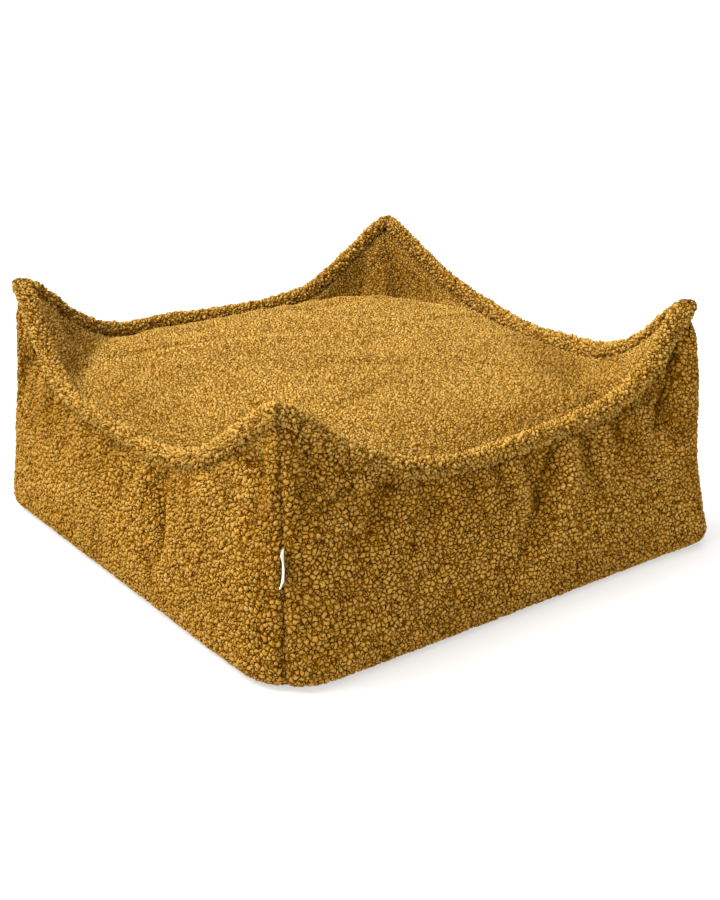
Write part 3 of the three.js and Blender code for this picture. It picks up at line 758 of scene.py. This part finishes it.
for side, name in enumerate(SIDES):
    mesh = merged_copy(f"rim_roll_{name}")
    key = {vert: vert.co.dot(ALONG[side]) + vert.co.dot(OUTWARD[side]) for vert in mesh.verts}
    first = sorted(mesh.verts, key=key.get)[:ROLL_POINTS]
    sections = []
    for ring in rings_from(first, [], ROLL_SECTIONS):
        points = np.array([vert.co for vert in ring])
        out = points @ np.array(OUTWARD[side])
        spin = np.arctan2(points[:, 2] - points[:, 2].mean(), out - out.mean())
        sections.append(points[np.argsort(spin)])
    mesh.free()
    net = np.array(sections)
    fine = respaced(net, ROLL_COLUMNS)
    fine = respaced(fine.transpose(1, 0, 2), ROLL_ROWS, closed=True)
    closed = np.concatenate([fine, fine[:1]])
    roll = grid_piece(f"rim_roll_cloth_{name}", closed)
    from_end = edge_distances(closed)
    # Towards their ends the rolls' pile is pinched and its colour darkened: painted shade where they meet at
    # the peaks.
    ends = np.clip(0.3 + np.minimum(from_end[2], from_end[3]) / ROLL_END_PINCH, 0, 1)
    # The rolls are painted a little lighter all over, and their shallower crevice setting paints them a touch
    # paler: painted light on the rims.
    set_pile_and_painted_shade(roll, ends, np.full(ends.shape, ROLL_PAINTED_LIGHT))
    raise_curls(roll, ROLL_CURLS, bias=0.38, fineness=1.2, crevices=0.95, ragged=1.5)
    mesh = bmesh.new()
    mesh.from_mesh(roll.data)
    bmesh.ops.remove_doubles(mesh, verts=mesh.verts, dist=2e-4)
    bmesh.ops.holes_fill(mesh, edges=[edge for edge in mesh.edges if edge.is_boundary], sides=0)
    bmesh.ops.recalc_face_normals(mesh, faces=mesh.faces)
    mesh.to_mesh(roll.data)
    mesh.free()
    bpy.ops.object.select_all(action="DESELECT")
    roll.select_set(True)
    bpy.ops.object.shade_smooth()
    dress(roll, "teddy_cloth", cloth, f"rim_roll_{name}")


# The label: a blank white woven tape, folded in two and sewn by its cut ends into the front corner's seam.
# It stands edge on out of the pile, a little bowed, and follows the solid label level by level.
TAPE_THICKNESS = 0.0004
TAPE_GAP = 0.0006
TAPE_TURN_POINTS = 9
TAPE_TURN_REACH = 0.0009
TAPE_TURN_ROOM = 0.0007
TAPE_ROWS = 48
TAPE_COLUMNS = 14
THREADS = 420.0
WEAVE_PITCH = 0.0007
WEAVE_RELIEF = 0.00008

mesh = merged_copy("label")
heights = sorted({round(vert.co.z, 5) for vert in mesh.verts})
levels = []
for height in heights:
    ring = [np.array(vert.co) for vert in mesh.verts if abs(vert.co.z - height) < 1e-5]
    ring.sort(key=lambda point: np.hypot(point[0], point[1]))
    levels.append([(ring[2 * pair] + ring[2 * pair + 1]) / 2 for pair in range(4)])
mesh.free()
middle = respaced(np.array(levels), TAPE_ROWS)
middle = respaced(middle.transpose(1, 0, 2), TAPE_COLUMNS).transpose(1, 0, 2)
tape_rows = []
for line in middle:
    ahead = np.gradient(line, axis=0)
    ahead[:, 2] = 0
    ahead = ahead / np.linalg.norm(ahead, axis=1)[:, None]
    aside = np.stack([-ahead[:, 1], ahead[:, 0], ahead[:, 2]], axis=1) * (TAPE_GAP + TAPE_THICKNESS) / 2
    short = line - ahead * TAPE_TURN_ROOM
    turn = np.linspace(math.pi / 2, -math.pi / 2, TAPE_TURN_POINTS)[1:-1]
    round_ahead = ahead[-1] * TAPE_TURN_REACH
    bend = [short[-1] + aside[-1] * math.sin(angle) + round_ahead * math.cos(angle) for angle in turn]
    tape_rows.append(np.concatenate([short + aside, bend, (short - aside)[::-1]]))
tape = grid_piece("woven_label", np.array(tape_rows))
bpy.ops.object.shade_smooth()
body = tape.modifiers.new("thickness", "SOLIDIFY")
body.thickness = TAPE_THICKNESS
body.offset = 0
bpy.ops.object.modifier_apply(modifier=body.name)

tape_material = bpy.data.materials.new("label_tape")
tape_material.use_nodes = True
tree = tape_material.node_tree
tape_shader = tree.nodes["Principled BSDF"]
tape_shader.inputs["Base Color"].default_value = (0.83, 0.82, 0.79, 1)
tape_shader.inputs["Roughness"].default_value = 0.75
tape_shader.inputs["Specular IOR Level"].default_value = 0.25
place = add_node(tree, "ShaderNodeTexCoord", None, None, "Object")
thread_inputs = {"Vector": place, "Scale": THREADS, "Distortion": 0.6}
warp_threads = add_node(tree, "ShaderNodeTexWave", {"bands_direction": "Z"}, thread_inputs, "Fac")
relief = (warp_threads + mottle(tree, place, WEAVE_PITCH)) * WEAVE_RELIEF
bump = add_node(tree, "ShaderNodeBump", None, {"Strength": 0.6, "Distance": 1.0, "Height": relief})
tree.links.new(bump.output, tape_shader.inputs["Normal"])
dress(tape, "label_tape", tape_material, "label")
